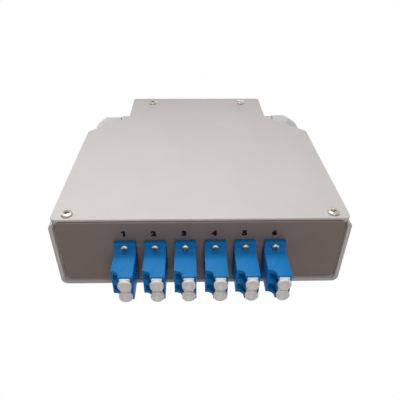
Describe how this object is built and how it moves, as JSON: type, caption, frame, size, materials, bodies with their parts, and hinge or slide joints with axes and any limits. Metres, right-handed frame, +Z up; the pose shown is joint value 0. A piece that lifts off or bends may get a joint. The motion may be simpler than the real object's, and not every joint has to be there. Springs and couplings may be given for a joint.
{
  "type": "DIN rail fibre distribution box",
  "caption": "Flat sheet-steel fibre box for a DIN rail, with upright duplex adapters and dust caps in its front panel and a cable gland on each side of its narrow tab.",
  "frame": {"origin": "middle of the tray's flat bottom, half-way along the tray from its open front edge to its rear wall", "axes": "+Z up out of the bottom towards the cover, -Y towards the front panel and its ports, +X to the right as seen from the front"},
  "size_m": [0.1353, 0.1677, 0.038],
  "materials": {
    "tray_paint": "satin powder coat",
    "cover_paint": "satin powder coat",
    "panel_paint": "satin powder coat",
    "nickel": "bright plated",
    "zinc": "bright zinc",
    "adapter_blue": "moulded, half gloss",
    "cap_white": "moulded, satin",
    "ceramic": "polished ceramic",
    "gland_nylon": "moulded, satin",
    "gland_rubber": "matt",
    "clip_black": "moulded, fine grain",
    "spring_steel": "drawn wire",
    "splice_white": "moulded, satin",
    "comb_grey": "moulded, satin",
    "brass": "turned"
  },
  "bodies": {
    "box": {"base_tray": "tray_paint", "top_cover": "cover_paint", "front_panel": "panel_paint", "cover_screws": "nickel", "cover_clinch_nuts": "zinc", "panel_studs": "zinc", "panel_bracket_left": "tray_paint", "panel_bracket_right": "tray_paint", "bracket_nuts": "zinc", "split_sleeves": "ceramic", "adapter_screws": "nickel", "adapter_nuts": "zinc", "inner_dust_caps": "cap_white", "rail_clip_body": "clip_black", "latch_spring": "spring_steel", "clip_screws": "zinc", "clip_nuts": "zinc", "splice_tray": "splice_white", "splice_comb": "comb_grey", "tray_standoffs": "brass", "splice_tray_screws": "zinc", "clamp_screws": "zinc", "earth_stud": "zinc", "earth_washer": "zinc", "earth_nut": "zinc", "adapter_1": "adapter_blue", "adapter_2": "adapter_blue", "adapter_3": "adapter_blue", "adapter_4": "adapter_blue", "adapter_5": "adapter_blue", "adapter_6": "adapter_blue", "gland_gasket_left": "gland_rubber", "gland_seal_left": "gland_rubber", "gland_body_left": "gland_nylon", "gland_locknut_left": "gland_nylon", "cable_clamp_left": "zinc", "gland_gasket_right": "gland_rubber", "gland_seal_right": "gland_rubber", "gland_body_right": "gland_nylon", "gland_locknut_right": "gland_nylon", "cable_clamp_right": "zinc"},
    "cap_1a": {"dust_cap_1a": "cap_white"},
    "cap_1b": {"dust_cap_1b": "cap_white"},
    "cap_2a": {"dust_cap_2a": "cap_white"},
    "cap_2b": {"dust_cap_2b": "cap_white"},
    "cap_3a": {"dust_cap_3a": "cap_white"},
    "cap_3b": {"dust_cap_3b": "cap_white"},
    "cap_4a": {"dust_cap_4a": "cap_white"},
    "cap_4b": {"dust_cap_4b": "cap_white"},
    "cap_5a": {"dust_cap_5a": "cap_white"},
    "cap_5b": {"dust_cap_5b": "cap_white"},
    "cap_6a": {"dust_cap_6a": "cap_white"},
    "cap_6b": {"dust_cap_6b": "cap_white"},
    "gland_nut_left": {"gland_nut_left": "gland_nylon"},
    "gland_nut_right": {"gland_nut_right": "gland_nylon"},
    "latch": {"rail_latch": "clip_black"}
  },
  "joints": [
    {"name": "cap_1a_pull", "type": "slide", "parent": "box", "child": "cap_1a", "axis": [0, -1, 0], "range_m": [0, 0.013]},
    {"name": "cap_1b_pull", "type": "slide", "parent": "box", "child": "cap_1b", "axis": [0, -1, 0], "range_m": [0, 0.013]},
    {"name": "cap_2a_pull", "type": "slide", "parent": "box", "child": "cap_2a", "axis": [0, -1, 0], "range_m": [0, 0.013]},
    {"name": "cap_2b_pull", "type": "slide", "parent": "box", "child": "cap_2b", "axis": [0, -1, 0], "range_m": [0, 0.013]},
    {"name": "cap_3a_pull", "type": "slide", "parent": "box", "child": "cap_3a", "axis": [0, -1, 0], "range_m": [0, 0.013]},
    {"name": "cap_3b_pull", "type": "slide", "parent": "box", "child": "cap_3b", "axis": [0, -1, 0], "range_m": [0, 0.013]},
    {"name": "cap_4a_pull", "type": "slide", "parent": "box", "child": "cap_4a", "axis": [0, -1, 0], "range_m": [0, 0.013]},
    {"name": "cap_4b_pull", "type": "slide", "parent": "box", "child": "cap_4b", "axis": [0, -1, 0], "range_m": [0, 0.013]},
    {"name": "cap_5a_pull", "type": "slide", "parent": "box", "child": "cap_5a", "axis": [0, -1, 0], "range_m": [0, 0.013]},
    {"name": "cap_5b_pull", "type": "slide", "parent": "box", "child": "cap_5b", "axis": [0, -1, 0], "range_m": [0, 0.013]},
    {"name": "cap_6a_pull", "type": "slide", "parent": "box", "child": "cap_6a", "axis": [0, -1, 0], "range_m": [0, 0.013]},
    {"name": "cap_6b_pull", "type": "slide", "parent": "box", "child": "cap_6b", "axis": [0, -1, 0], "range_m": [0, 0.013]},
    {"name": "gland_nut_left_turn", "type": "hinge", "parent": "box", "child": "gland_nut_left", "pos_m": [-0.06, 0.05295, 0.0176], "axis": [-1, 0, 0], "continuous": true},
    {"name": "gland_nut_right_turn", "type": "hinge", "parent": "box", "child": "gland_nut_right", "pos_m": [0.06, 0.05295, 0.0176], "axis": [1, 0, 0], "continuous": true},
    {"name": "rail_latch_pull", "type": "slide", "parent": "box", "child": "latch", "axis": [-1, 0, 0], "range_m": [0, 0.0045], "stiffness_N_per_m": 2900, "springref_m": -0.002, "deforming": ["latch_spring"]}
  ]
}
